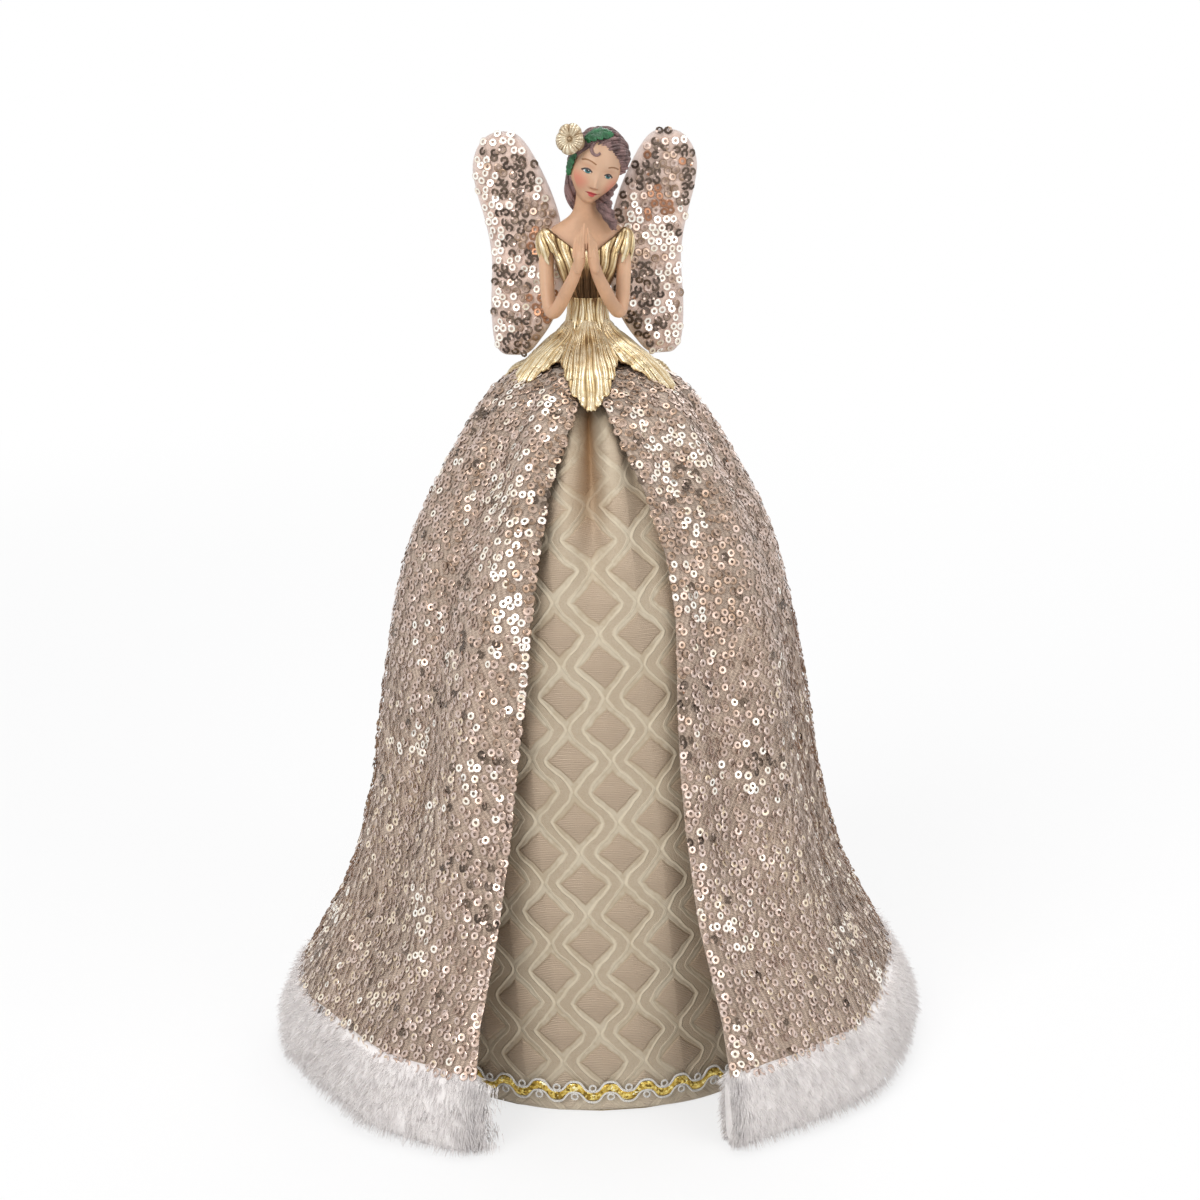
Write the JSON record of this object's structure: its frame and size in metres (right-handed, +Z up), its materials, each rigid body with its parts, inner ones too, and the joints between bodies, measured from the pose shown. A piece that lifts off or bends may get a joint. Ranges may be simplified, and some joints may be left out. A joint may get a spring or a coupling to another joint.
{
  "type": "tree topper",
  "caption": "Fairy tree topper: painted figure with praying hands and bendable padded wings on a hollow cone, in a bell skirt and an open sequinned cape edged with plush.",
  "frame": {"origin": "centre of the footprint at floor level, in the plane the cone stands on; the cone's axis is 5.4 mm in front of it, because the trim is open at the front", "axes": "+Z up along the cone, -Y the way the figure faces, +X to the viewer's right"},
  "size_m": [0.2342, 0.2228, 0.3308],
  "materials": {
    "card": "plain matt paperboard",
    "softwood": "bare turned softwood",
    "wadding": "loose white polyester fibre",
    "jacquard": "pale gold jacquard with raised cream ogee bands round ribbed satin diamonds",
    "gold_braid": "gold glitter ribbon in a zigzag",
    "white_cord": "twisted off-white cord",
    "sequin_cloth": "beige mesh covered in champagne pink ring sequins",
    "wing_cloth": "plain pale pink cloth",
    "plush": "short white plush",
    "wire": "soft annealed steel wire",
    "gold_paint": "metallic gold paint on cast resin, brown wash in the grooves",
    "skin": "satin skin paint on cast resin, painted features",
    "hair": "dark brown paint on grooved cast resin",
    "leaf_green": "glossy green paint",
    "petal": "cream and pale gold paint"
  },
  "bodies": {
    "topper": {"tree_cone": "card", "base_ring": "card", "cone_plug": "softwood", "figure_peg": "softwood", "skirt_wadding": "wadding", "underskirt": "jacquard", "hem_ribbon": "gold_braid", "hem_cord_low": "white_cord", "hem_cord_high": "white_cord", "cape": "sequin_cloth", "cape_hem_wire": "wire", "fur_trim": "plush", "waist_tie": "white_cord", "peplum": "gold_paint", "bodice": "gold_paint", "head_and_chest": "skin", "left_arm": "skin", "right_arm": "skin", "left_sleeve": "gold_paint", "right_sleeve": "gold_paint", "hair_cap": "hair", "hair_tail": "hair", "hair_nape": "hair", "hair_flower": "petal", "big_hair_leaf": "leaf_green", "small_hair_leaf": "leaf_green", "wing_mount": "gold_paint", "front_leaf": "gold_paint", "right_leaf": "gold_paint", "right_back_leaf": "gold_paint", "back_leaf": "gold_paint", "left_back_leaf": "gold_paint", "left_leaf": "gold_paint"},
    "left_wing": {"left_wing_front_cloth": "sequin_cloth", "left_wing_back_cloth": "wing_cloth", "left_wing_pad": "wadding", "left_wing_wire": "wire"},
    "right_wing": {"right_wing_front_cloth": "sequin_cloth", "right_wing_back_cloth": "wing_cloth", "right_wing_pad": "wadding", "right_wing_wire": "wire"}
  },
  "joints": [
    {"name": "left_wing_bend", "type": "hinge", "parent": "topper", "child": "left_wing", "pos_m": [-0.0042, 0.00561, 0.282], "axis": [0, 0, -1], "range_deg": [-15, 35]},
    {"name": "right_wing_bend", "type": "hinge", "parent": "topper", "child": "right_wing", "pos_m": [0.0042, 0.00561, 0.282], "axis": [0, 0, 1], "range_deg": [-15, 35]}
  ]
}
